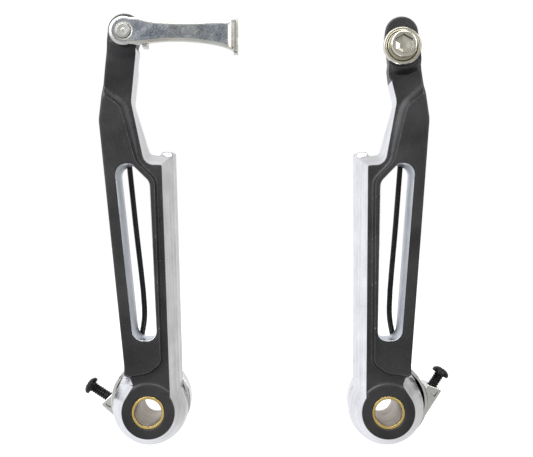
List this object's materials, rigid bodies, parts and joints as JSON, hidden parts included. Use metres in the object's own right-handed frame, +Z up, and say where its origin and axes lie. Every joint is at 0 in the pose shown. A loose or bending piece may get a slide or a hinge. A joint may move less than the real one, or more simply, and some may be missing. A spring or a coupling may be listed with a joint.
{
  "type": "linear-pull bicycle brake arm pair",
  "caption": "Mirrored pair of linear-pull rim brake arms with windowed black alloy blades, brass pivot bushes, return springs, tension screws, a noodle link and a cable anchor.",
  "frame": {"origin": "on the left spring housing's frame seat, straight below the left stud's axis by 8.5 mm", "axes": "+Z up along the arms, +X from the left stud to the right stud, +Y back towards the frame along the stud axes"},
  "size_m": [0.1147, 0.0379, 0.1299],
  "materials": {
    "arm_alloy": "satin black anodised front with machined bright bevels",
    "bush_brass": "turned brass",
    "housing_chrome": "polished plated steel",
    "bolt_chrome": "polished plated steel",
    "nickel_steel": "nickel plated pressed steel, finely mottled",
    "black_oxide_steel": "black oxide",
    "spring_steel": "glossy black coated wire",
    "pin_steel": "ground steel",
    "nylon": "black nylon"
  },
  "bodies": {
    "frame_side": {"left_spring_housing": "housing_chrome", "left_housing_pin": "pin_steel", "right_spring_housing": "housing_chrome", "right_housing_pin": "pin_steel"},
    "left_arm_body": {"left_arm": "arm_alloy", "left_pivot_bush": "bush_brass", "left_thrust_washer": "nylon", "left_spring_hook_pin": "pin_steel", "left_return_spring": "spring_steel", "link_rivet": "nickel_steel"},
    "link_body": {"noodle_link": "nickel_steel"},
    "left_screw_body": {"left_tension_screw": "black_oxide_steel"},
    "right_arm_body": {"right_arm": "arm_alloy", "right_pivot_bush": "bush_brass", "right_thrust_washer": "nylon", "right_spring_hook_pin": "pin_steel", "right_return_spring": "spring_steel"},
    "right_screw_body": {"right_tension_screw": "black_oxide_steel"},
    "clamp_body": {"clamp_washer": "bolt_chrome"},
    "bolt_body": {"anchor_bolt": "bolt_chrome"}
  },
  "joints": [
    {"name": "left_arm_pivot", "type": "hinge", "parent": "frame_side", "child": "left_arm_body", "pos_m": [0, -0.0125, 0.0085], "axis": [0, 1, 0], "range_deg": [-22, 8], "deforming": ["left_return_spring"]},
    {"name": "right_arm_pivot", "type": "hinge", "parent": "frame_side", "child": "right_arm_body", "pos_m": [0.0715, -0.0125, 0.0085], "axis": [0, -1, 0], "range_deg": [-22, 8], "deforming": ["right_return_spring"]},
    {"name": "noodle_link_pivot", "type": "hinge", "parent": "left_arm_body", "child": "link_body", "pos_m": [-0.0067, -0.029, 0.1212], "axis": [0, -1, 0], "range_deg": [-2, 80]},
    {"name": "cable_clamp_travel", "type": "slide", "parent": "right_arm_body", "child": "clamp_body", "axis": [0, -1, 0], "range_m": [0, 0.0025]},
    {"name": "anchor_bolt_turn", "type": "hinge", "parent": "clamp_body", "child": "bolt_body", "pos_m": [0.07508, -0.03, 0.11685], "axis": [0, -1, 0], "range_deg": [0, 905]},
    {"name": "left_tension_travel", "type": "slide", "parent": "frame_side", "child": "left_screw_body", "axis": [-0.8387, 0, 0.5446], "range_m": [-0.0015, 0.002]},
    {"name": "right_tension_travel", "type": "slide", "parent": "frame_side", "child": "right_screw_body", "axis": [0.5446, 0, 0.8387], "range_m": [-0.0015, 0.002]}
  ],
  "couplings": [
    {"joint": "anchor_bolt_turn", "follows": "cable_clamp_travel", "rad_per_m": 6283.2}
  ]
}
